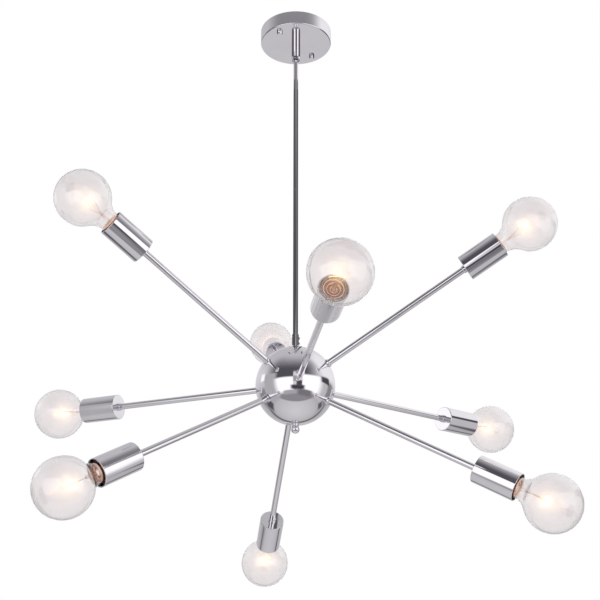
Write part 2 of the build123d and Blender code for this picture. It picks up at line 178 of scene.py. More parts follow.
class ChandelierShape(bpy.types.PropertyGroup):
    """Sizes of walls, edges and fine forms."""

    canopy_wall: length("Canopy wall", "Sheet thickness of the canopy", 1.2)
    canopy_edge: length("Canopy edge", "Round between the canopy's side and its underside", 2)
    sheet_edge: length("Sheet edge", "Small round on cut metal edges", 0.25)
    nut_radius: length("Thumb nut", "Radius of a thumb nut", 5)
    nut_edge: length("Thumb nut edge", "Round on a thumb nut's lower edge", 0.7)
    nut_taper: length("Thumb nut taper", "How far a thumb nut's foot draws in", 0.45)
    nut_taper_height: length("Thumb nut taper height", "Height of a thumb nut's drawn-in foot", 2.2)
    nut_groove: length("Thumb nut groove", "Depth of a thumb nut's grip grooves", 0.12)
    nut_grooves: count("Thumb nut grooves", "Grip grooves round a thumb nut", 24)
    sleeve_bore: length("Sleeve bore", "Inside radius of the hanger sleeve", 6)
    sleeve_lip: length("Sleeve lip", "Radius of the hole in the sleeve's lip", 4.6)
    sleeve_mouth: length("Sleeve mouth", "Radius of the sleeve's open mouth", 6.8)
    sleeve_mouth_depth: length("Sleeve mouth depth", "Depth of the sleeve's open mouth", 2)
    sleeve_lip_height: length("Sleeve lip height", "Height of the lip that carries the swivel", 2)
    sleeve_taper: length("Sleeve taper", "How far the sleeve's foot draws in", 0.6)
    sleeve_taper_height: length("Sleeve taper height", "Height over which the sleeve draws in", 3.2)
    sleeve_foot: length("Sleeve foot", "Height of the drawn-in foot under the sleeve's taper", 1.2)
    rod_wall: length("Rod wall", "Tube wall of the down rod", 1)
    rod_edge: length("Rod edge", "Round on the ends of the rods", 0.2)
    coupler_edge: length("Coupler edge", "Round on the coupler's top", 0.5)
    coupler_step: length("Coupler step", "Height of the rod's seat above the hub", 4.5)
    hub_wall: length("Hub wall", "Sheet thickness of the hub shells", 1.5)
    hub_seam_edge: length("Hub seam edge", "Round along the seam of the hub shells", 0.03)
    finial_collar: length("Finial collar", "Radius of the finial's collar", 5.5)
    finial_collar_height: length("Finial collar height", "Height of the finial's collar", 1.8)
    finial_neck: length("Finial neck", "Radius of the finial's neck", 4.2)
    arm_wall: length("Arm wall", "Tube wall of an arm", 1)
    collar_radius: length("Arm collar", "Radius of the collar at an arm's root", 6.25)
    collar_height: length("Arm collar height", "Height of an arm's collar above the hub", 2.8)
    collar_edge: length("Arm collar edge", "Round on an arm's collar", 0.7)
    cup_wall: length("Cup wall", "Sheet thickness of a socket cup", 1.5)
    cup_floor: length("Cup floor", "Thickness of a socket cup's rear wall", 2)
    cup_edge: length("Cup rear edge", "Round on the rear edge of a socket cup", 1)
    cup_collar: length("Cup collar", "Radius of the collar behind a socket cup", 5.9)
    cup_collar_length: length("Cup collar length", "Length of the collar behind a socket cup", 4)
    cup_lip: length("Cup lip", "Round on the mouth of a socket cup", 0.5)
    glass_wall: length("Glass wall", "Thickness of a globe's glass", 0.8)
    glass_foot: length("Glass foot", "Radius of the glass inside the screw cap", 12.4)
    neck_radius: length("Neck radius", "Outside radius of a bulb's neck", 15)
    neck_bend: length("Neck bend", "Radius of the curve from neck to globe", 22)
    neck_flare: length("Neck flare", "Height over which the neck widens above the cap", 3.5)
    cap_length: length("Cap length", "Screw cap from tip to rim", 26.5)
    cap_wall: length("Cap wall", "Sheet thickness of a screw cap", 0.6)
    cap_band: length("Cap band", "Height of the plain band at a cap's rim", 2)
    cap_base: length("Cap base", "Height of the filled part at a cap's tip", 9)
    tail_reach: length("Cap tail", "Distance from a cap's rim to its insulating tail", 20.7)
    tail_inset: length("Cap tail inset", "How far a cap's tail starts inside the cap", 1)
    tail_radius: length("Cap tail radius", "Radius of a cap's tail at the contact", 6)
    tail_foot: length("Cap tail foot", "Height of a cap's tail above its tip", 2.5)
    contact_radius: length("Tip contact", "Radius of the contact at a cap's tip", 4.5)
    contact_edge: length("Tip contact edge", "Round on the contact at a cap's tip", 1)
    thread_reach: length("Thread reach", "Distance from a cap's rim to the foot of its thread", 19.3)
    thread_pitch: length("Thread pitch", "Pitch of the rolled cap thread", 3.6)
    thread_depth: length("Thread depth", "Depth of the rolled cap thread", 0.7)
    stem_radius: length("Glass stem", "Radius of the glass stem in a bulb", 2.4)
    stem_length: length("Glass stem length", "Height of the glass stem in a bulb", 25)
    stem_foot: length("Glass stem foot", "Height of the glass stem's foot above the cap", 3.2)
    stem_flare: length("Glass stem flare", "How far the glass stem widens at its foot", 1)
    stem_flare_height: length("Glass stem flare height", "Height of the glass stem's flare", 5)
    stem_tip: length("Glass stem tip", "Round on top of the glass stem", 1.2)
    shield_radius: length("Heat shield", "Radius of the ridged disc in a bulb's neck", 14.8)
    shield_foot: length("Heat shield foot", "Height of the ridged disc's middle above the cap", 1.2)
    shield_rise: length("Heat shield rise", "How far the ridged disc rises to its edge", 5)
    shield_ridge: length("Heat shield ridge", "Height of the disc's ridges, up and down", 1.5)
    shield_rings: level("Heat shield rings", "Ridges from the disc's middle to its edge", 3.5)
    shield_wall: length("Heat shield wall", "Sheet thickness of the ridged disc", 0.35)
    shield_rim: length("Heat shield rim", "Height of the ridged disc's raised rim", 0.8)
    wire_radius: length("Lead wire", "Radius of a lead wire", 0.35)
    lead_foot: length("Lead foot", "Half the distance between the leads in the stem", 1.6)
    lead_depth: length("Lead depth", "How deep the leads stand in the stem", 6)
    lead_bend: length("Lead bend", "Height and spread of the leads' bend above the stem", 2)
    lead_spread: length("Lead spread", "Half the distance between the lead tips", 11)
    support_depth: length("Support depth", "How deep the filament's supports stand in the stem", 2)
    filament_rise: length("Filament rise", "Height of the filament's bow", 4)
    filament_coil: length("Filament coil", "Radius of the coiled filament", 0.45)
    filament_wire: length("Filament wire", "Radius of the filament's wire", 0.12)
    filament_turns: count("Filament turns", "Turns of the coiled filament", 46)
    glow_radius: length("Glow radius", "Reach of the light that shows round a filament", 30)
    glow_set_back: length("Glow set back", "Distance of the glow's middle from the globe's centre", 9)


class ChandelierFinish(bpy.types.PropertyGroup):
    """Colours and levels of the finishes."""

    chrome: colour("Chrome", "Colour of the polished plating", 0.861, 0.835, 0.877)
    chrome_shade: colour("Chrome shade", "Duller colour in the plating's faint clouds", 0.821, 0.795, 0.837)
    chrome_gloss: level("Chrome roughness", "Roughness of the polished plating", 0.035)
    steel: colour("Steel", "Colour of the plain zinc-plated steel", 0.52, 0.52, 0.54)
    brass: colour("Brass", "Colour of the screw shells and contacts", 0.62, 0.44, 0.18)
    # Partly the metal's own colour, partly the filament's warm light painted onto the cap and heat shield
    copper: colour("Copper", "Colour of the cap, heat shield and lead wires", 0.94, 0.70, 0.56)
    # Darker copper that paints shade into the heat shield's grooves
    browned: colour("Browned copper", "Colour of the grooves in the heat shield", 0.62, 0.33, 0.20)
    insulator: colour("Insulator", "Colour of the moulded lampholders", 0.034, 0.022, 0.018)
    glass: colour("Glass tint", "Tint of the clear globes", 0.932, 0.905, 0.908)
    glass_gloss: level("Glass gloss", "Index that sets how strongly the globes mirror the room", 1.6)
    glass_absorb: colour("Glass edge", "Colour that thick glass edges take", 0.80, 0.75, 0.76)
    glass_density: level("Glass edge density", "How fast the glass takes its edge colour, per metre", 30)
    filament: colour("Filament", "Colour of the hot filament's light", 1.0, 0.66, 0.32)
    filament_metal: colour("Filament metal", "Colour of the filament's wire", 0.9, 0.6, 0.3)
    filament_shade: colour("Filament shade", "Darker colour of the filament's wire", 0.7, 0.4, 0.2)
    filament_level: level("Filament level", "Brightness of the hot filament", 1.6)
    glow: colour("Glow", "Colour of the light round a filament", 1.0, 0.69, 0.38)
    glow_level: level("Glow level", "Brightness of the light round a filament, per metre", 15)
    glow_fade: level("Glow fade", "How fast that light fades outwards", 1.5)
    glow_core: level("Glow core", "How many times brighter the middle of that light is", 4)
    glow_core_fade: level("Glow core fade", "How fast the middle of that light fades outwards", 6)


class ChandelierStage(bpy.types.PropertyGroup):
    """Camera, floor and studio light."""

    camera_place: standing("Camera place", "Where the camera stands", -194.86, -1569.62, -1144.17)
    camera_pitch: turning("Camera pitch", "How far the camera looks up", 22.2626)
    camera_yaw: turning("Camera yaw", "How far the camera is turned to the right", 7.3282)
    camera_lens: level("Camera lens", "Focal length in millimetres", 66.159)
    floor_depth: distance("Floor depth", "How far the floor lies below the ceiling", 1.6)
    floor_size: distance("Floor size", "Side of the floor", 40)
    floor_fade: distance("Floor fade", "Distance at which the floor is plain white", 3.2)
    floor: colour("Floor", "Colour of the floor", 0.86, 0.855, 0.855)
    backdrop: colour("Backdrop", "Colour of the background", 1, 1, 1)
    fill_level: level("Fill level", "Brightness of the even light all round", 0.85)
    studio_reach: distance("Studio reach", "Distance of the studio's cards from the hub", 1.6)
    room_cast: colour("Room cast", "Faint colour that the dark parts of the studio keep", 0.001, 0, 0.011)
    flag_level: level("Flag level", "Brightness of the dark strips", 0.09)
    key_power: FloatProperty(
        name="Key power", description="Power of the soft lamp overhead", default=10, min=0, unit="POWER"
    )
    key_size: distance("Key size", "Side of the soft lamp overhead", 1.2)
    key_place: standing("Key place", "Where the soft lamp hangs", -500, -900, 1300)


def shape():
    """The sizes in use."""
    return bpy.context.scene.chandelier_shape


def finish():
    """The colours and levels in use."""
    return bpy.context.scene.chandelier_finish


# Modelling helpers

def rounded(corners, steps=6):
    """Closed outline through (radius, height, edge) corners, each rounded by its edge."""
    outline = []
    for index, (radius, height, edge) in enumerate(corners):
        here = Vector((radius, height))
        if not edge:
            outline.append(here)
            continue
        back = (Vector(corners[index - 1][:2]) - here).normalized()
        ahead = (Vector(corners[(index + 1) % len(corners)][:2]) - here).normalized()
        half = back.angle(ahead) / 2
        middle = here + (back + ahead).normalized() * (edge / math.sin(half))
        start = here + back * (edge / math.tan(half)) - middle
        end = here + ahead * (edge / math.tan(half)) - middle
        first = math.atan2(start.y, start.x)
        turn = (math.atan2(end.y, end.x) - first + math.pi) % math.tau - math.pi
        outline += arc(middle.x, middle.y, edge, math.degrees(first), math.degrees(first + turn), steps)
    return outline + outline[:1]


def arc(radius, height, size, start, end, steps):
    """Points on an arc in the (radius, height) plane, with angles in degrees from outward to up."""
    points = []
    for step in range(steps + 1):
        angle = math.radians(start + (end - start) * step / steps)
        points.append(Vector((radius + size * math.cos(angle), height + size * math.sin(angle))))
    return points


def select_only(*objects):
    """Leaves only these objects selected, with the first one active."""
    bpy.ops.object.select_all(action="DESELECT")
    for piece in objects:
        piece.select_set(True)
    bpy.context.view_layer.objects.active = objects[0]


def spun(name, outline, steps=128, flats=True):
    """Piece spun about Z from an outline; flats keeps its flat faces true beside rounded edges."""
    bpy.ops.object.select_all(action="DESELECT")
    bpy.ops.mesh.primitive_plane_add(size=MM)
    piece = bpy.context.active_object
    piece.name = name
    piece.data.name = name
    bpy.ops.object.mode_set(mode="EDIT")
    bpy.ops.mesh.merge(type="CENTER")
    bpy.ops.transform.translate(value=(outline[0].x, 0, outline[0].y))
    for before, after in zip(outline, outline[1:]):
        move = (after.x - before.x, 0, after.y - before.y)
        bpy.ops.mesh.extrude_vertices_move(TRANSFORM_OT_translate={"value": move})
    bpy.ops.mesh.select_all(action="SELECT")
    bpy.ops.mesh.spin(steps=steps, angle=math.tau, center=(0, 0, 0), axis=(0, 0, 1))
    bpy.ops.mesh.select_all(action="SELECT")
    bpy.ops.mesh.remove_doubles(threshold=MERGE_DISTANCE)
    bpy.ops.mesh.normals_make_consistent(inside=False)
    bpy.ops.object.mode_set(mode="OBJECT")
    bpy.ops.object.shade_smooth_by_angle(angle=SHARP_ANGLE)
    if flats:
        modifier = piece.modifiers.new("True flats", "WEIGHTED_NORMAL")
        modifier.keep_sharp = True
        bpy.ops.object.modifier_apply(modifier=modifier.name)
    return piece


def settled(piece, place):
    """The piece moved to its place, with the place in its mesh."""
    select_only(piece)
    piece.matrix_world = place
    bpy.ops.object.transform_apply(location=True, rotation=True, scale=True)
    return piece


def copied(pattern, name, place):
    """Copy of a modelled piece with its own mesh, at its place."""
    select_only(pattern)
    bpy.ops.object.duplicate(linked=False)
    copy = bpy.context.active_object
    copy.name = name
    copy.data.name = name
    return settled(copy, place)


def joined(name, pieces):
    """Several pieces made one."""
    select_only(*pieces)
    bpy.ops.object.join()
    whole = bpy.context.active_object
    whole.name = name
    whole.data.name = name
    return whole


def coated(piece, material):
    """The piece with one finish all over."""
    piece.data.materials.clear()
    piece.data.materials.append(material)
    return piece


def fitted(piece, body, slot, *nodes):
    """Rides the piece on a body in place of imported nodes."""
    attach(piece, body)
    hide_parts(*nodes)


def chromed(piece, body, *nodes):
    """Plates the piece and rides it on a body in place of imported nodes."""
    fitted(coated(piece, polished_chrome()), body, "chrome", *nodes)


def drop(piece):
    """Removes a pattern that has been copied."""
    bpy.data.objects.remove(piece, do_unlink=True)


def wire(name, points, radius, sides=2):
    """Round wire through points, made a mesh."""
    path = bpy.data.curves.new(name, "CURVE")
    path.dimensions = "3D"
    path.bevel_depth = radius
    path.bevel_resolution = sides
    path.use_fill_caps = True
    spline = path.splines.new("POLY")
    spline.points.add(len(points) - 1)
    for point, place in zip(spline.points, points):
        point.co = (*place, 1)
    strand = bpy.data.objects.new(name, path)
    bpy.context.collection.objects.link(strand)
    select_only(strand)
    bpy.ops.object.convert(target="MESH")
    strand = bpy.context.active_object
    bpy.ops.object.shade_smooth()
    return strand


# Finishes

# Values of noise between which a finish drifts, and the depth of a metal's relief
NOISE_LOW = 0.3
NOISE_HIGH = 0.7
RELIEF_DEPTH = 0.02 * MM


def new_finish(name):
    """Material with its tree and its main shader."""
    material = bpy.data.materials.new(name)
    material.use_nodes = True
    tree = material.node_tree
    return material, tree, tree.nodes["Principled BSDF"]


def new_light(name):
    """Material of light alone, with its tree and its output."""
    material, tree, shader = new_finish(name)
    tree.nodes.remove(shader)
    return material, tree, tree.nodes["Material Output"]


def made_once(build):
    """Finish that is built at its first use, under its function's name, and kept."""
    def kept():
        return bpy.data.materials.get(build.__name__) or build(build.__name__)
    return kept


def calculated(tree, operation, *values):
    """Result of a math node whose inputs are sockets or plain numbers."""
    node = tree.nodes.new("ShaderNodeMath")
    node.operation = operation
    for socket, value in zip(node.inputs, values):
        if isinstance(value, bpy.types.NodeSocket):
            tree.links.new(value, socket)
        else:
            socket.default_value = value
    return node.outputs["Value"]


def surface_noise(tree, scale, detail, low, high):
    """Noise on the piece's own coordinates, spread between two values."""
    place = tree.nodes.new("ShaderNodeTexCoord")
    noise = tree.nodes.new("ShaderNodeTexNoise")
    noise.inputs["Scale"].default_value = scale
    noise.inputs["Detail"].default_value = detail
    spread = tree.nodes.new("ShaderNodeMapRange")
    spread.inputs["From Min"].default_value = NOISE_LOW
    spread.inputs["From Max"].default_value = NOISE_HIGH
    spread.inputs["To Min"].default_value = low
    spread.inputs["To Max"].default_value = high
    tree.links.new(place.outputs["Object"], noise.inputs["Vector"])
    tree.links.new(noise.outputs["Fac"], spread.inputs["Value"])
    return spread.outputs["Result"]


def ball_fade(tree, centre, radius):
    """Value that falls from one at a centre to nought at a radius."""
    place = tree.nodes.new("ShaderNodeTexCoord")
    ball = tree.nodes.new("ShaderNodeMapping")
    ball.vector_type = "TEXTURE"
    ball.inputs["Location"].default_value = centre
    ball.inputs["Scale"].default_value = [radius] * 3
    fade = tree.nodes.new("ShaderNodeTexGradient")
    fade.gradient_type = "SPHERICAL"
    tree.links.new(place.outputs["Object"], ball.inputs["Vector"])
    tree.links.new(ball.outputs["Vector"], fade.inputs["Vector"])
    return fade.outputs["Fac"]


def clouded(tree, shader, scale, light, dark):
    """Base colour that drifts between two colours."""
    mix = tree.nodes.new("ShaderNodeMix")
    mix.data_type = "RGBA"
    mix.inputs["A"].default_value = (*light, 1)
    mix.inputs["B"].default_value = (*dark, 1)
    tree.links.new(surface_noise(tree, scale, 4, 0, 1), mix.inputs["Factor"])
    tree.links.new(mix.outputs["Result"], shader.inputs["Base Color"])


def bumped(tree, shader, scale, depth, strength):
    """Fine relief from noise."""
    bump = tree.nodes.new("ShaderNodeBump")
    bump.inputs["Strength"].default_value = strength
    bump.inputs["Distance"].default_value = depth
    tree.links.new(surface_noise(tree, scale, 3, 0, 1), bump.inputs["Height"])
    tree.links.new(bump.outputs["Normal"], shader.inputs["Normal"])


def metal(name, light, dark, rough, scale, relief):
    """Metal with faint clouds, a gloss between two values of rough and a fine relief."""
    material, tree, shader = new_finish(name)
    shader.inputs["Metallic"].default_value = 1
    clouded(tree, shader, scale, light, dark)
    tree.links.new(surface_noise(tree, 2 * scale, 5, *rough), shader.inputs["Roughness"])
    bumped(tree, shader, 8 * scale, RELIEF_DEPTH, relief)
    return material


def shaded(light, share):
    """A colour at a share of its level."""
    return [share * value for value in light]


@made_once
def polished_chrome(name):
    look = finish()
    rough = (0.5 * look.chrome_gloss, 1.6 * look.chrome_gloss)
    return metal(name, look.chrome, look.chrome_shade, rough, scale=30, relief=0.02)


@made_once
def plated_steel(name):
    look = finish()
    return metal(name, look.steel, shaded(look.steel, 0.75), rough=(0.28, 0.45), scale=90, relief=0.15)


@made_once
def raw_brass(name):
    look = finish()
    return metal(name, look.brass, shaded(look.brass, 0.75), rough=(0.2, 0.38), scale=120, relief=0.1)


# Copper whose warm colour also stands in for the filament's light on the cap and heat shield: painted light
@made_once
def warm_copper(name):
    look = finish()
    return metal(name, look.copper, shaded(look.copper, 0.78), rough=(0.1, 0.2), scale=60, relief=0.03)


# Darker copper for the heat shield's grooves: painted shade
@made_once
def browned_copper(name):
    look = finish()
    return metal(name, look.browned, shaded(look.browned, 0.6), rough=(0.15, 0.3), scale=60, relief=0.03)


@made_once
def moulded_insulator(name):
    look = finish()
    material, tree, shader = new_finish(name)
    clouded(tree, shader, 140, look.insulator, shaded(look.insulator, 2.2))
    rough = surface_noise(tree, scale=260, detail=3, low=0.38, high=0.55)
    tree.links.new(rough, shader.inputs["Roughness"])
    bumped(tree, shader, scale=900, depth=0.05 * MM, strength=0.3)
    return material


def glass(name, tint, bend):
    """Smooth clear glass with a faint uneven tint; bend is its index of refraction."""
    material, tree, shader = new_finish(name)
    clouded(tree, shader, 35, tint, shaded(tint, 0.985))
    shader.inputs["Roughness"].default_value = 0
    shader.inputs["IOR"].default_value = bend
    shader.inputs["Transmission Weight"].default_value = 1
    return material, tree, shader


@made_once
def stem_glass(name):
    return glass(name, shaded(finish().glass, 1.04), bend=1.15)[0]


@made_once
def clear_glass(name):
    look = finish()
    material, tree, shader = glass(name, look.glass, bend=1.42)
    shader.inputs["Coat Weight"].default_value = 1
    shader.inputs["Coat Roughness"].default_value = 0
    shader.inputs["Coat IOR"].default_value = look.glass_gloss
    absorb = tree.nodes.new("ShaderNodeVolumeAbsorption")
    absorb.inputs["Color"].default_value = (*look.glass_absorb, 1)
    absorb.inputs["Density"].default_value = look.glass_density
    tree.links.new(absorb.outputs["Volume"], tree.nodes["Material Output"].inputs["Volume"])
    return material


@made_once
def hot_filament(name):
    look = finish()
    material, tree, shader = new_finish(name)
    shader.inputs["Emission Color"].default_value = (*look.filament, 1)
    shader.inputs["Emission Strength"].default_value = look.filament_level
    clouded(tree, shader, 400, look.filament_metal, look.filament_shade)
    return material


def bulb_glow(light):
    """Light that hangs round one filament and fades outwards."""
    look = finish()
    size = shape()
    material, tree, output = new_light(f"glow_{light}")
    middle = arm_place(light) @ Vector((0, 0, GLOBE_CENTRE - size.glow_set_back))
    fade = ball_fade(tree, middle, size.glow_radius)
    emit = tree.nodes.new("ShaderNodeEmission")
    emit.inputs["Color"].default_value = (*look.glow, 1)
    halo = calculated(tree, "POWER", fade, look.glow_fade)
    core = calculated(tree, "POWER", fade, look.glow_core_fade)
    both = calculated(tree, "MULTIPLY_ADD", core, look.glow_core, halo)
    tree.links.new(calculated(tree, "MULTIPLY", both, look.glow_level), emit.inputs["Strength"])
    tree.links.new(emit.outputs["Emission"], output.inputs["Volume"])
    return material


# Pieces

class CHANDELIER_OT_canopy(bpy.types.Operator):
    """Model the canopy pan and its thumb nuts"""

    bl_idname = "chandelier.canopy"
    bl_label = "Canopy"
    # Where a grip groove starts and ends, as shares of its turn
    groove_start = 0.4
    groove_end = 0.9

    def execute(self, context):
        size = shape()
        inside = CANOPY_RADIUS - size.canopy_wall
        floor_top = CANOPY_LOW + size.canopy_wall
        edge = size.sheet_edge
        pan = spun("canopy_pan", rounded([
            (STEM_RADIUS, CANOPY_LOW, 0),
            (CANOPY_RADIUS, CANOPY_LOW, size.canopy_edge),
            (CANOPY_RADIUS, CANOPY_TOP, edge),
            (inside, CANOPY_TOP, edge),
            (inside, floor_top, size.canopy_edge - size.canopy_wall),
            (STEM_RADIUS, floor_top, 0),
        ]), steps=192)
        chromed(pan, "ceiling_mount", "canopy")
        self.thumb_nuts(size)
        return {"FINISHED"}

    def thumb_nuts(self, size):
        """Two round nuts, each with grip grooves round its side."""
        low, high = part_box("canopy_thumb_nuts")
        radius = size.nut_radius
        foot = radius - size.nut_taper
        groove = math.tau / size.nut_grooves
        pattern = spun("thumb_nut", [
            Vector((0, low.z)),
            *arc(foot - size.nut_edge, low.z + size.nut_edge, size.nut_edge, -90, 0, 5),
            Vector((radius, low.z + size.nut_edge + size.nut_taper_height)),
            Vector((radius, high.z - size.nut_edge)),
            Vector((radius - size.nut_edge, high.z)),
            Vector((0, high.z)),
        ], steps=4 * size.nut_grooves)
        for vertex in pattern.data.vertices:
            share = math.atan2(vertex.co.y, vertex.co.x) % groove / groove
            on_side = vertex.co.xy.length > foot - 0.5 * size.nut_edge
            vertex.select = on_side and self.groove_start < share < self.groove_end
        bpy.ops.object.mode_set(mode="EDIT")
        inward = 1 - size.nut_groove / radius
        bpy.ops.transform.resize(value=(inward, inward, 1), center_override=(0, 0, low.z))
        bpy.ops.object.mode_set(mode="OBJECT")
        place = Vector((high.x - radius, high.y - radius, 0))
        nuts = [
            copied(pattern, f"thumb_nut_{index}", Matrix.Translation(side * place))
            for index, side in enumerate((-1, 1))
        ]
        drop(pattern)
        chromed(joined("thumb_nuts", nuts), "ceiling_mount", "canopy_thumb_nuts")


class CHANDELIER_OT_hanger(bpy.types.Operator):
    """Model the sleeve of the swivel hanger"""

    bl_idname = "chandelier.hanger"
    bl_label = "Hanger sleeve"

    def execute(self, context):
        size = shape()
        edge = size.sheet_edge
        lip_low = SLEEVE_LOW + size.sleeve_mouth_depth
        lip_top = lip_low + size.sleeve_lip_height
        taper_low = SLEEVE_LOW + size.sleeve_foot
        sleeve = spun("swivel_sleeve", rounded([
            (size.sleeve_bore, SLEEVE_TOP, 0),
            (SLEEVE_RADIUS, SLEEVE_TOP, 0),
            (SLEEVE_RADIUS, taper_low + size.sleeve_taper_height, edge),
            (SLEEVE_RADIUS - size.sleeve_taper, taper_low, 0),
            (SLEEVE_RADIUS - size.sleeve_taper, SLEEVE_LOW, 0),
            (size.sleeve_mouth, SLEEVE_LOW, 0),
            (size.sleeve_mouth, lip_low, edge),
            (size.sleeve_lip, lip_low, edge),
            (size.sleeve_lip, lip_top, edge),
            (size.sleeve_bore, lip_top, edge),
        ]), steps=96)
        chromed(sleeve, "ceiling_mount", "hanger_sleeve")
        return {"FINISHED"}


class CHANDELIER_OT_down_rod(bpy.types.Operator):
    """Model the two rods that hang from the swivel"""

    bl_idname = "chandelier.down_rod"
    bl_label = "Down rod"

    def execute(self, context):
        size = shape()
        bore = ROD_RADIUS - size.rod_wall
        rods = {"upper_rod": (UPPER_ROD_LOW, UPPER_ROD_TOP), "lower_rod": (LOWER_ROD_LOW, LOWER_ROD_TOP)}
        for node, (low, top) in rods.items():
            tube = spun(f"{node}_tube", rounded([
                (bore, low, 0),
                (ROD_RADIUS, low, size.rod_edge),
                (ROD_RADIUS, top, size.rod_edge),
                (bore, top, 0),
            ]), steps=96)
            chromed(tube, "fixture", node)
        return {"FINISHED"}


class CHANDELIER_OT_hub(bpy.types.Operator):
    """Model the hub shells, their coupler, its screws and the finial"""

    bl_idname = "chandelier.hub"
    bl_label = "Ball hub"
    # Shank and dome of a set screw, as shares of its head's radius and height
    screw_shank = 0.6
    screw_dome = 0.6

    def execute(self, context):
        size = shape()
        self.shells(size)
        self.coupler(size)
        self.set_screws(size)
        self.finial(size)
        return {"FINISHED"}

    def shells(self, size):
        """Upper and lower spun shells, with a fine rounded seam between them."""
        seam = math.degrees(math.asin(HUB_SEAM / HUB_RADIUS))
        step_in = math.degrees(size.hub_seam_edge / HUB_RADIUS)
        hole = math.degrees(math.acos(TIE_RADIUS / HUB_RADIUS))
        inside = HUB_RADIUS - size.hub_wall
        for node, first, last in (("hub_upper_shell", seam, hole), ("hub_lower_shell", -hole, seam)):
            low = first + step_in * (first == seam)
            high = last - step_in * (last == seam)
            outline = arc(0, 0, HUB_RADIUS, low, high, 120)
            outline += arc(0, 0, HUB_RADIUS - size.hub_seam_edge, last, last, 1)
            outline += arc(0, 0, inside, last, first, 40)
            outline += arc(0, 0, HUB_RADIUS - size.hub_seam_edge, first, first, 1)
            shell = spun(f"{node}_skin", outline + outline[:1], steps=256, flats=False)
            settled(shell, Matrix.Translation(HUB))
            chromed(shell, "fixture", node)

    def coupler(self, size):
        """Sleeve between the rod and the hub, with its foot on the hub's curve."""
        step = HUB_RADIUS + size.coupler_step
        edge = size.sheet_edge
        sleeve = spun("rod_coupler", rounded([
            (TIE_RADIUS, COUPLER_LOW, 0),
            (COUPLER_RADIUS, COUPLER_LOW, 0),
            (COUPLER_RADIUS, COUPLER_TOP, size.coupler_edge),
            (ROD_RADIUS, COUPLER_TOP, edge),
            (ROD_RADIUS, step, 0),
            (TIE_RADIUS, step, 0),
        ]), steps=96)
        settled(sleeve, Matrix.Translation(HUB))
        chromed(sleeve, "fixture", "hub_coupler")

    def set_screws(self, size):
        """Two domed screws through the coupler's side."""
        low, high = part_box("coupler_set_screws")
        head = high.y
        shank = self.screw_shank * head
        dome = self.screw_dome * (high.x - COUPLER_RADIUS)
        edge = size.sheet_edge
        pattern = spun("set_screw", [
            Vector((0, ROD_RADIUS)),
            Vector((shank, ROD_RADIUS)),
            Vector((shank, COUPLER_RADIUS)),
            *arc(head - edge, COUPLER_RADIUS + edge, edge, -90, 0, 3),
            *arc(head - dome, high.x - dome, dome, 0, 90, 6),
            Vector((0, high.x)),
        ], steps=48)
        turn = Matrix.Rotation(math.radians(90), 4, "Y")
        screws = [
            copied(pattern, f"set_screw_{index}", Matrix.Translation((0, 0, height)) @ turn)
            for index, height in enumerate((low.z + head, high.z - head))
        ]
        drop(pattern)
        chromed(joined("set_screws", screws), "fixture", "coupler_set_screws")

    def finial(self, size):
        """Ball nut with a neck and a collar under the hub."""
        ball = FINIAL_RADIUS
        centre = FINIAL_LOW + ball
        collar_low = -HUB_RADIUS - size.finial_collar_height
        edge = size.sheet_edge
        meet = math.degrees(math.acos(size.finial_neck / ball))
        outline = [
            Vector((TIE_RADIUS, FINIAL_TOP)),
            Vector((size.finial_collar, FINIAL_TOP)),
            *arc(size.finial_collar - 2 * edge, collar_low + 2 * edge, 2 * edge, 0, -90, 6),
            Vector((size.finial_neck, collar_low)),
            *arc(0, centre, ball, meet, -90, 48),
        ]
        nut = spun("finial_ball", outline, steps=96, flats=False)
        settled(nut, Matrix.Translation(HUB))
        chromed(nut, "fixture", "finial")


class CHANDELIER_OT_arms(bpy.types.Operator):
    """Model the arms and the collars at their roots"""

    bl_idname = "chandelier.arms"
    bl_label = "Arms"

    def execute(self, context):
        size = shape()
        bore = ARM_RADIUS - size.arm_wall
        arm = spun("arm", rounded([
            (bore, ARM_ROOT, 0),
            (ARM_RADIUS, ARM_ROOT, 0),
            (ARM_RADIUS, ARM_END, 0),
            (bore, ARM_END, 0),
        ]), steps=96)
        foot = math.sqrt(HUB_RADIUS**2 - size.collar_radius**2)
        top = HUB_RADIUS + size.collar_height
        collar = spun("collar", rounded([
            (ARM_RADIUS, foot, 0),
            (size.collar_radius, foot, 0),
            (size.collar_radius, top, size.collar_edge),
            (ARM_RADIUS, top, size.sheet_edge),
        ]), steps=96)
        collars = []
        for light in LIGHTS:
            chromed(copied(arm, f"arm_tube_{light}", arm_place(light)), "fixture", f"arm_{light}")
            collars.append(copied(collar, f"collar_{light}", arm_place(light)))
        drop(arm)
        drop(collar)
        chromed(joined("root_collars", collars), "fixture", "arm_collars")
        return {"FINISHED"}


class CHANDELIER_OT_cups(bpy.types.Operator):
    """Model the socket cups and the collars behind them"""

    bl_idname = "chandelier.cups"
    bl_label = "Socket cups"

    def execute(self, context):
        size = shape()
        bore = CUP_RADIUS - size.cup_wall
        floor_top = CUP_REAR + size.cup_floor
        cup = spun("cup", rounded([
            (ARM_RADIUS, CUP_REAR, 0),
            (CUP_RADIUS, CUP_REAR, size.cup_edge),
            (CUP_RADIUS, CUP_MOUTH, size.cup_lip),
            (bore, CUP_MOUTH, size.cup_lip),
            (bore, floor_top, size.cup_edge),
            (ARM_RADIUS, floor_top, 0),
        ]), steps=160)
        collar = spun("cup_collar", rounded([
            (ARM_RADIUS, CUP_REAR - size.cup_collar_length, size.sheet_edge),
            (size.cup_collar, CUP_REAR - size.cup_collar_length, size.collar_edge),
            (size.cup_collar, CUP_REAR, size.sheet_edge),
            (ARM_RADIUS, CUP_REAR, 0),
        ]), steps=96)
        collars = []
        for light in LIGHTS:
            chromed(copied(cup, f"socket_cup_{light}", arm_place(light)), "fixture", f"cup_{light}")
            collars.append(copied(collar, f"cup_collar_{light}", arm_place(light)))
        drop(cup)
        drop(collar)
        ring_set = coated(joined("cup_collars", collars), polished_chrome())
        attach(ring_set, "fixture")
        return {"FINISHED"}


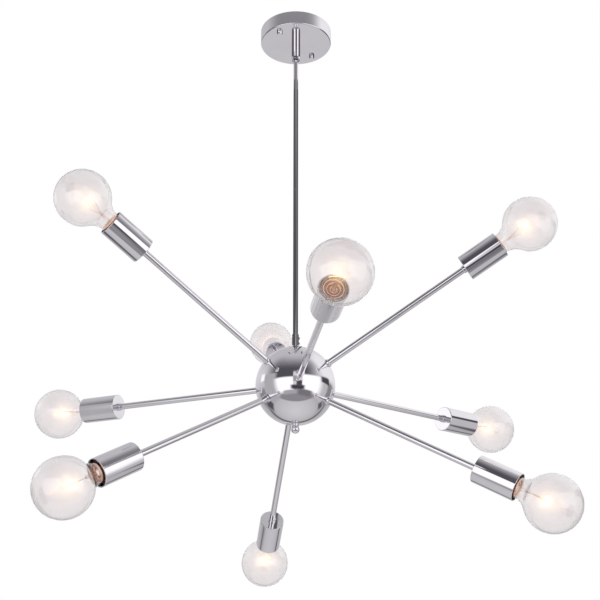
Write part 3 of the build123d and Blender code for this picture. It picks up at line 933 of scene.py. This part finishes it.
class CHANDELIER_OT_bulbs(bpy.types.Operator):
    """Model the globes, what stands inside them and their glow"""

    bl_idname = "chandelier.bulbs"
    bl_label = "Bulbs"
    thread_steps = 60
    coil_sides = 10
    # Dish of the ridged disc, and the height on its ridges below which it takes darker copper as painted
    # shade
    shield_steps = 72
    shield_curve = 1.6
    groove_level = -0.3
    # Hooks of the filament's supports, as shares of the filament, and their wire as a share of a lead
    hook_across = 0.36
    hook_rise = 0.86
    support_share = 0.6

    def execute(self, context):
        size = shape()
        globe = coated(self.globe(size), clear_glass())
        works = self.works(size)
        glow = self.glow(size)
        for light in LIGHTS:
            body = f"bulb_{light}"
            place = arm_place(light)
            fitted(copied(globe, f"globe_{light}", place), body, "glass", f"bulb_glass_{light}")
            fitted(copied(works, f"lamp_works_{light}", place), body, "brass", f"bulb_core_{light}")
            light_ball = coated(copied(glow, f"lamp_glow_{light}", place), bulb_glow(light))
            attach(light_ball, body)
        for pattern in (globe, works, glow):
            drop(pattern)
        return {"FINISHED"}

    def globe(self, size):
        """Glass skin from the tip over the globe and neck to the foot, and back up inside."""
        rim = CAP_TIP + size.cap_length
        wall = size.glass_wall
        outline = self.glass_side(size, 0, rim)
        outline += reversed(self.glass_side(size, wall, rim))
        return spun("globe", outline, steps=128, flats=False)

    def glass_side(self, size, inset, rim):
        """One side of the glass, from the tip to the foot."""
        reach = GLOBE_RADIUS + size.neck_bend
        out = size.neck_radius + size.neck_bend
        lean = math.degrees(math.acos(out / reach))
        neck_top = GLOBE_CENTRE - reach * math.sin(math.radians(lean))
        neck = size.neck_radius - inset
        foot = size.glass_foot - inset
        return [
            *arc(0, GLOBE_CENTRE, GLOBE_RADIUS - inset, 90, -lean, 72),
            *arc(out, neck_top, size.neck_bend + inset, 180 - lean, 180, 16)[1:],
            Vector((neck, rim + size.neck_flare)),
            Vector((foot, rim)),
            Vector((foot, GLASS_FOOT)),
        ]

    def works(self, size):
        """Cap, stem, heat shield, wires and filament of one bulb."""
        rim = CAP_TIP + size.cap_length
        stem_top = GLASS_FOOT + size.stem_length
        pieces = [
            # The cap's warm copper stands in for brass lit by the filament: painted light
            coated(self.cap(size, rim), warm_copper()),
            self.shield(size, rim),
            coated(self.stem(size, rim + size.stem_foot, stem_top), stem_glass()),
        ]
        pieces += self.wires(size, stem_top)
        return joined("lamp_works", pieces)

    def cap(self, size, rim):
        """Screw cap with a rolled thread, an insulating tail and a tip contact."""
        thread_low = rim - size.thread_reach
        thread_high = rim - size.cap_band
        edge = size.contact_edge
        bore = CAP_RADIUS - size.cap_wall
        base = CAP_TIP + size.cap_base
        outline = [
            Vector((0, CAP_TIP)),
            *arc(size.contact_radius - edge, CAP_TIP + edge, edge, -90, 0, 5),
            Vector((size.tail_radius, CAP_TIP + size.tail_foot)),
            Vector((CAP_RADIUS - size.tail_inset, rim - size.tail_reach)),
        ]
        for step in range(self.thread_steps + 1):
            height = thread_low + (thread_high - thread_low) * step / self.thread_steps
            wave = 0.5 - 0.5 * math.cos(math.tau * (height - thread_low) / size.thread_pitch)
            outline.append(Vector((CAP_RADIUS - size.thread_depth * wave, height)))
        outline += [
            Vector((CAP_RADIUS, rim)),
            Vector((bore, rim)),
            Vector((bore - size.thread_depth, base)),
            Vector((0, base)),
        ]
        return spun("cap", outline, steps=64, flats=False)

    def shield(self, size, rim):
        """Dished disc that closes the neck, with bright ring ridges, grooves darkened with painted shade,
        and a raised rim.
        """
        low = rim + size.shield_foot
        wall = size.shield_wall
        inside = size.shield_radius - wall
        upper = []
        for step in range(self.shield_steps + 1):
            share = step / self.shield_steps
            dish = size.shield_rise * share**self.shield_curve
            upper.append(Vector((inside * share, low + dish + size.shield_ridge * self.ridge(size, share))))
        edge = upper[-1].y
        lower = [Vector((point.x, point.y - wall)) for point in reversed(upper)]
        raised = [
            Vector((inside, edge + size.shield_rim)),
            Vector((size.shield_radius, edge + size.shield_rim)),
            Vector((size.shield_radius, edge - wall)),
        ]
        # The disc's warm copper also carries the filament's light, painted in
        disc = coated(spun("shield", upper + raised + lower, steps=64, flats=False), warm_copper())
        # Faces down in the grooves take the darker copper, as painted shade
        disc.data.materials.append(browned_copper())
        for face in disc.data.polygons:
            share = face.center.xy.length / size.shield_radius
            face.material_index = int(self.ridge(size, share) < self.groove_level)
        return disc

    def ridge(self, size, share):
        """Height of the disc's ridges at a share of its radius, from -1 in a groove to 1 on a ridge."""
        return math.cos(math.tau * size.shield_rings * share)

    def stem(self, size, foot, stem_top):
        """Glass stem that stands on the disc."""
        tip = size.stem_tip
        return spun("stem", [
            Vector((0, foot)),
            Vector((size.stem_radius + size.stem_flare, foot)),
            Vector((size.stem_radius, foot + size.stem_flare_height)),
            Vector((size.stem_radius, stem_top - tip)),
            *arc(size.stem_radius - tip, stem_top - tip, tip, 0, 90, 6),
            Vector((0, stem_top)),
        ], steps=48, flats=False)

    def wires(self, size, stem_top):
        """Two leads, two supports and the coiled filament between the lead tips."""
        tip = FILAMENT_TOP - size.filament_rise - size.filament_coil
        pieces = []
        top = Vector((0, 0, stem_top - size.support_depth))
        for side in (-1, 1):
            foot = Vector((side * size.lead_foot, 0, stem_top - size.lead_depth))
            bend = Vector((side * size.lead_bend, 0, stem_top + size.lead_bend))
            end = Vector((side * size.lead_spread, 0, tip))
            pieces.append(coated(wire("lead", [foot, bend, end], size.wire_radius), warm_copper()))
            hook = end + Vector((
                (self.hook_across - 1) * side * size.lead_spread, 0, self.hook_rise * size.filament_rise
            ))
            thin = self.support_share * size.wire_radius
            pieces.append(coated(wire("support", [top, hook], thin), warm_copper()))
        coil = []
        swing = size.filament_coil
        total = size.filament_turns * self.coil_sides
        for step in range(total + 1):
            turn = math.tau * step / self.coil_sides
            across = 2 * step / total - 1
            rise = tip + size.filament_rise * (1 - across**2)
            coil.append(Vector((
                across * size.lead_spread, swing * math.cos(turn), rise + swing * math.sin(turn)
            )))
        pieces.append(coated(wire("filament", coil, size.filament_wire, sides=1), hot_filament()))
        return pieces

    def glow(self, size):
        """Ball of light round the filament."""
        bpy.ops.object.select_all(action="DESELECT")
        centre = GLOBE_CENTRE - size.glow_set_back
        bpy.ops.mesh.primitive_uv_sphere_add(
            segments=32, ring_count=16, radius=size.glow_radius, location=(0, 0, centre)
        )
        ball = bpy.context.active_object
        ball.name = "glow"
        bpy.ops.object.transform_apply(location=True, rotation=True, scale=True)
        return ball


class CHANDELIER_OT_inner_pieces(bpy.types.Operator):
    """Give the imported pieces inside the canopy, hub and cups their finishes"""

    bl_idname = "chandelier.inner_pieces"
    bl_label = "Inner pieces"

    def execute(self, context):
        finishes = {
            plated_steel(): (
                "crossbar", "canopy_studs", "stem_lock_nut", "hanger_plug", "swivel_seat",
                "rod_joiner", "hub_tie_tube", "arm_lock_nuts",
            ),
            polished_chrome(): ("swivel_ball",),
            raw_brass(): ("screw_shells", "centre_contacts", "ground_screw"),
            moulded_insulator(): ("lamp_holders",),
        }
        for material, nodes in finishes.items():
            for node in nodes:
                for slot in frame["nodes"][node].material_slots:
                    slot.material = material
        return {"FINISHED"}


# Stage

class StudioCard(NamedTuple):
    """Soft-edged card; each reach is where it starts, is full, stops being full and ends."""

    azimuth: tuple
    elevation: tuple
    level: float


# Angles in degrees as the hub sees them, with azimuth from the camera's side towards +X
STUDIO_CARDS = {
    "high window": StudioCard((40, 86, 112, 196), (10, 20, 52, 80), 0.94),
    "dark ceiling": StudioCard((-118, -58, 18, 86), (2, 12, 30, 83), 0.09),
    "low rear left": StudioCard((-148, -132, -110, -103), (-42, -36, -4, 4), 0.28),
    "left skirting": StudioCard((-136, -128, -112, -104), (-42, -36, -26, -20), 0.10),
    "rear right": StudioCard((92, 98, 112, 136), (-28, -22, 8, 14), 0.27),
    "right skirting": StudioCard((90, 96, 112, 124), (-38, -35, -29, -25), 0.12),
    "left wall": StudioCard((-107, -100, -70, -56), (-46, -36, 20, 25), 0.47),
    "right wall": StudioCard((56, 70, 92, 103), (-42, -30, 16, 21), 0.56),
    "back wall": StudioCard((150, 162, 184, 196), (-28, -22, -12, -6), 0.61),
    "left pane": StudioCard((-124, -118, -108, -102), (11, 14, 22, 26), 1.15),
    "left softbox": StudioCard((-76, -54, -15, -11), (-38, -26, 5, 11), 1.25),
    "right softbox": StudioCard((11, 14, 56, 84), (-35, -21, 12, 19), 1.25),
    "right border": StudioCard((66, 76, 100, 105), (4, 7, 15, 19), 0.07),
    "middle wall": StudioCard((-15, -11, 11, 14), (-20, -16, 18, 28), 0.75),
    "middle post": StudioCard((-15, -11, -5, -1), (-6, -3, 9, 13), 0.38),
    "left ground": StudioCard((-52, -40, -8, 2), (-42, -36, -30, -25), 0.44),
    "right ground": StudioCard((-2, 8, 40, 56), (-46, -38, -28, -22), 0.20),
    "middle low": StudioCard((-26, -15, 15, 26), (-28, -23, -17, -11), 0.06),
    "middle dark": StudioCard((-6, -2, 10, 13), (-18, -14, -4, 1), 0.08),
}


class Flag(NamedTuple):
    """Dark strip on each side of the rod: distance out, width and heights of its ends, in millimetres."""

    reach: float
    width: float
    low: float
    top: float


FLAGS = (Flag(100, 110, -125, -30), Flag(10, 20, -570, -110))
# Depths along Y of the reflected floor's edges, as shares of the hub's height above that floor
FLOOR_FRONT = (-30, -29, -0.58, -0.50)
FLOOR_FRONT_LEAN = 0.105
FLOOR_FRONT_LEVEL = 0.29
FLOOR_BACK = (1.20, 1.28, 1.53, 1.78)
FLOOR_BACK_LEVEL = 0.13
FLOOR_ELEVATIONS = (-100, -95, -16, -10)
HORIZON = 0.05
ROOM_LEVELS = (
    (-90, 0.71), (-60, 0.62), (-45, 0.56), (-32, 0.42), (-20, 0.48), (0, 0.57), (10, 0.66),
    (22, 0.76), (32, 0.70), (46, 0.56), (90, 0.56),
)


class CHANDELIER_OT_stage(bpy.types.Operator):
    """Set the camera, floor, world and lamp"""

    bl_idname = "chandelier.stage"
    bl_label = "Stage"

    def execute(self, context):
        look = context.scene.chandelier_stage
        context.scene.view_settings.view_transform = "Standard"
        self.camera(context, look)
        self.floor(look)
        self.world(context, look)
        self.dome(look)
        self.flags(look)
        self.lamp(context, look)
        return {"FINISHED"}

    def camera(self, context, look):
        """Camera at the photograph's viewing angle."""
        data = bpy.data.cameras.new("photo_camera")
        data.lens = look.camera_lens
        eye = bpy.data.objects.new("photo_camera", data)
        eye.location = look.camera_place
        eye.rotation_euler = (math.radians(90) + look.camera_pitch, 0, -look.camera_yaw)
        context.scene.collection.objects.link(eye)
        context.scene.camera = eye

    def floor(self, look):
        """Pale floor that keeps a soft shadow and fades to white far out."""
        bpy.ops.object.select_all(action="DESELECT")
        bpy.ops.mesh.primitive_plane_add(size=look.floor_size, location=(0, 0, -look.floor_depth))
        ground = bpy.context.active_object
        ground.name = "floor"
        bpy.ops.object.transform_apply(location=True, rotation=True, scale=True)
        ground.visible_glossy = False
        coated(ground, self.floor_paint(look))

    def floor_paint(self, look):
        """Matt pale paint, plain white far out and clear from below."""
        material, tree, shader = new_finish("floor_paint")
        clouded(tree, shader, 3, look.floor, shaded(look.floor, 0.985))
        shader.inputs["Roughness"].default_value = 0.9
        shader.inputs["Specular IOR Level"].default_value = 0
        fade = ball_fade(tree, (0, 0, -look.floor_depth), look.floor_fade)
        soft = tree.nodes.new("ShaderNodeMapRange")
        soft.interpolation_type = "SMOOTHSTEP"
        soft.inputs["To Min"].default_value = 1
        soft.inputs["To Max"].default_value = 0
        white = tree.nodes.new("ShaderNodeEmission")
        white.inputs["Color"].default_value = (*look.backdrop, 1)
        painted = tree.nodes.new("ShaderNodeMixShader")
        clear = tree.nodes.new("ShaderNodeBsdfTransparent")
        facing = tree.nodes.new("ShaderNodeNewGeometry")
        one_sided = tree.nodes.new("ShaderNodeMixShader")
        tree.links.new(fade, soft.inputs["Value"])
        tree.links.new(soft.outputs["Result"], painted.inputs["Fac"])
        tree.links.new(shader.outputs["BSDF"], painted.inputs[1])
        tree.links.new(white.outputs["Emission"], painted.inputs[2])
        tree.links.new(facing.outputs["Backfacing"], one_sided.inputs["Fac"])
        tree.links.new(painted.outputs["Shader"], one_sided.inputs[1])
        tree.links.new(clear.outputs["BSDF"], one_sided.inputs[2])
        tree.links.new(one_sided.outputs["Shader"], tree.nodes["Material Output"].inputs["Surface"])
        return material

    def world(self, context, look):
        """White room for the camera, glass and gloss, and an even fill for matt surfaces."""
        room = bpy.data.worlds.new("studio")
        room.use_nodes = True
        context.scene.world = room
        tree = room.node_tree
        tree.nodes.clear()
        fill = tree.nodes.new("ShaderNodeBackground")
        fill.inputs["Strength"].default_value = look.fill_level
        white = tree.nodes.new("ShaderNodeBackground")
        white.inputs["Color"].default_value = (*look.backdrop, 1)
        rays = tree.nodes.new("ShaderNodeLightPath")
        seen = rays.outputs["Is Camera Ray"]
        for kind in ("Is Transmission Ray", "Is Glossy Ray"):
            seen = calculated(tree, "MAXIMUM", seen, rays.outputs[kind])
        shown = tree.nodes.new("ShaderNodeMixShader")
        output = tree.nodes.new("ShaderNodeOutputWorld")
        tree.links.new(seen, shown.inputs["Fac"])
        tree.links.new(fill.outputs["Background"], shown.inputs[1])
        tree.links.new(white.outputs["Background"], shown.inputs[2])
        tree.links.new(shown.outputs["Shader"], output.inputs["Surface"])

    def dome(self, look):
        """Ring of studio cards round the hub, which only polished surfaces reflect."""
        bpy.ops.object.select_all(action="DESELECT")
        bpy.ops.mesh.primitive_uv_sphere_add(segments=96, ring_count=48, radius=look.studio_reach)
        room = bpy.context.active_object
        room.name = "studio_dome"
        room.location = HUB
        bpy.ops.object.shade_smooth()
        self.reflected_only(room)
        coated(room, self.dome_cards(look))

    def dome_cards(self, look):
        """Floor, walls and ceiling by elevation, with each card laid over them in turn."""
        material, tree, output = new_light("studio_cards")
        material.cycles.emission_sampling = "NONE"
        place = tree.nodes.new("ShaderNodeTexCoord")
        direction = tree.nodes.new("ShaderNodeVectorMath")
        direction.operation = "NORMALIZE"
        tree.links.new(place.outputs["Object"], direction.inputs[0])
        split = tree.nodes.new("ShaderNodeSeparateXYZ")
        tree.links.new(direction.outputs["Vector"], split.inputs["Vector"])
        toward = calculated(tree, "MULTIPLY", split.outputs["Y"], -1)
        azimuth = calculated(tree, "DEGREES", calculated(tree, "ARCTAN2", split.outputs["X"], toward))
        elevation = calculated(tree, "DEGREES", calculated(tree, "ARCSINE", split.outputs["Z"]))
        level = self.floor_edges(tree, split, elevation, self.room_levels(tree, elevation))
        for card in STUDIO_CARDS.values():
            across = self.card_span(tree, azimuth, card.azimuth)
            along = self.card_span(tree, elevation, card.elevation)
            level = self.laid_over(tree, level, card.level, calculated(tree, "MULTIPLY", across, along))
        light = tree.nodes.new("ShaderNodeEmission")
        cast = tree.nodes.new("ShaderNodeEmission")
        cast.inputs["Color"].default_value = (*look.room_cast, 1)
        both = tree.nodes.new("ShaderNodeAddShader")
        tree.links.new(level, light.inputs["Strength"])
        tree.links.new(light.outputs["Emission"], both.inputs[0])
        tree.links.new(cast.outputs["Emission"], both.inputs[1])
        tree.links.new(both.outputs["Shader"], output.inputs["Surface"])
        return material

    def room_levels(self, tree, elevation):
        """Brightness of the bare room by elevation."""
        curve = tree.nodes.new("ShaderNodeFloatCurve")
        points = curve.mapping.curves[0].points
        while len(points) < len(ROOM_LEVELS):
            points.new(0.5, 0.5)
        for point, (degrees, level) in zip(points, ROOM_LEVELS):
            point.location = ((degrees + 90) / 180, level)
            point.handle_type = "VECTOR"
        curve.mapping.update()
        share = tree.nodes.new("ShaderNodeMapRange")
        share.inputs["From Min"].default_value = -90
        share.inputs["From Max"].default_value = 90
        tree.links.new(elevation, share.inputs["Value"])
        tree.links.new(share.outputs["Result"], curve.inputs["Value"])
        return curve.outputs["Value"]

    def floor_edges(self, tree, direction, elevation, level):
        """Grey ground past the floor's front edge, and a dark line along its back edge."""
        low = self.card_span(tree, elevation, FLOOR_ELEVATIONS)
        down = calculated(tree, "MULTIPLY", direction.outputs["Z"], -1)
        below = calculated(tree, "MAXIMUM", down, HORIZON)
        depth = calculated(tree, "DIVIDE", direction.outputs["Y"], below)
        lean = calculated(tree, "DIVIDE", direction.outputs["X"], below)
        slant = calculated(tree, "ADD", depth, calculated(tree, "MULTIPLY", lean, FLOOR_FRONT_LEAN))
        front = calculated(tree, "MULTIPLY", self.card_span(tree, slant, FLOOR_FRONT), low)
        level = self.laid_over(tree, level, FLOOR_FRONT_LEVEL, front)
        line = calculated(tree, "MULTIPLY", self.card_span(tree, depth, FLOOR_BACK), low)
        return self.laid_over(tree, level, FLOOR_BACK_LEVEL, line)

    def flags(self, look):
        """Dark strips beside the rod, which only polished surfaces reflect."""
        material, tree, output = new_light("flag_cloth")
        material.cycles.emission_sampling = "NONE"
        light = tree.nodes.new("ShaderNodeEmission")
        light.inputs["Strength"].default_value = look.flag_level
        tree.links.new(light.outputs["Emission"], output.inputs["Surface"])
        for flag, side in itertools.product(FLAGS, (-1, 1)):
            bpy.ops.object.select_all(action="DESELECT")
            bpy.ops.mesh.primitive_plane_add(size=MM, rotation=(0, math.radians(90), 0))
            strip = bpy.context.active_object
            strip.name = f"flag_{side * flag.reach}"
            strip.scale = (flag.top - flag.low, flag.width, 1)
            strip.location = MM * Vector((side * flag.reach, 0, (flag.low + flag.top) / 2))
            self.reflected_only(strip)
            coated(strip, material)

    def reflected_only(self, piece):
        """Hides a stage piece from all but polished surfaces."""
        piece.visible_camera = False
        piece.visible_diffuse = False
        piece.visible_transmission = False
        piece.visible_volume_scatter = False
        piece.visible_shadow = False

    def laid_over(self, tree, level, card_level, cover):
        """Brightness with a card's own brightness where it covers."""
        mix = tree.nodes.new("ShaderNodeMix")
        mix.inputs["B"].default_value = card_level
        tree.links.new(cover, mix.inputs["Factor"])
        tree.links.new(level, mix.inputs["A"])
        return mix.outputs["Result"]

    def card_span(self, tree, angle, reach):
        """One where a card is full and nought outside it, with soft edges between."""
        start, full, past, end = reach
        middle = (start + end) / 2
        offset = calculated(tree, "WRAP", calculated(tree, "SUBTRACT", angle, middle), 180, -180)
        edges = []
        for outer, inner in ((start, full), (end, past)):
            edge = tree.nodes.new("ShaderNodeMapRange")
            edge.interpolation_type = "SMOOTHSTEP"
            edge.inputs["From Min"].default_value = outer - middle
            edge.inputs["From Max"].default_value = inner - middle
            tree.links.new(offset, edge.inputs["Value"])
            edges.append(edge.outputs["Result"])
        return calculated(tree, "MULTIPLY", *edges)

    def lamp(self, context, look):
        """Soft square lamp overhead that gives the floor its shadow."""
        data = bpy.data.lights.new("key_lamp", "AREA")
        data.size = look.key_size
        data.energy = look.key_power
        lamp = bpy.data.objects.new("key_lamp", data)
        lamp.location = look.key_place
        aim = Vector((0, 0, -look.floor_depth)) - lamp.location
        lamp.rotation_euler = aim.to_track_quat("-Z", "Y").to_euler()
        lamp.visible_glossy = False
        lamp.visible_transmission = False
        context.scene.collection.objects.link(lamp)


class CHANDELIER_PT_sidebar(bpy.types.Panel):
    """Lists the pieces, the finishes and the stage"""

    bl_idname = "CHANDELIER_PT_sidebar"
    bl_label = "Chandelier"
    bl_space_type = "VIEW_3D"
    bl_region_type = "UI"
    bl_category = "Chandelier"

    def draw(self, context):
        for operator in OPERATORS:
            self.layout.operator(operator.bl_idname)
        for name, group in GROUPS.items():
            box = self.layout.box()
            settings = getattr(context.scene, name)
            for setting in group.__annotations__:
                box.prop(settings, setting)


OPERATORS = (
    CHANDELIER_OT_stage,
    CHANDELIER_OT_canopy,
    CHANDELIER_OT_hanger,
    CHANDELIER_OT_down_rod,
    CHANDELIER_OT_hub,
    CHANDELIER_OT_arms,
    CHANDELIER_OT_cups,
    CHANDELIER_OT_bulbs,
    CHANDELIER_OT_inner_pieces,
)
GROUPS = {
    "chandelier_shape": ChandelierShape,
    "chandelier_finish": ChandelierFinish,
    "chandelier_stage": ChandelierStage,
}
CLASSES = (*GROUPS.values(), *OPERATORS, CHANDELIER_PT_sidebar)


def register():
    for item in CLASSES:
        bpy.utils.register_class(item)
    for name, group in GROUPS.items():
        setattr(bpy.types.Scene, name, PointerProperty(type=group))


def unregister():
    for name in GROUPS:
        delattr(bpy.types.Scene, name)
    for item in reversed(CLASSES):
        bpy.utils.unregister_class(item)


def main():
    """Registers the classes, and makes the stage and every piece."""
    register()
    bpy.ops.chandelier.stage()
    bpy.ops.chandelier.canopy()
    bpy.ops.chandelier.hanger()
    bpy.ops.chandelier.down_rod()
    bpy.ops.chandelier.hub()
    bpy.ops.chandelier.arms()
    bpy.ops.chandelier.cups()
    bpy.ops.chandelier.bulbs()
    bpy.ops.chandelier.inner_pieces()


if __name__ == "__main__":
    main()
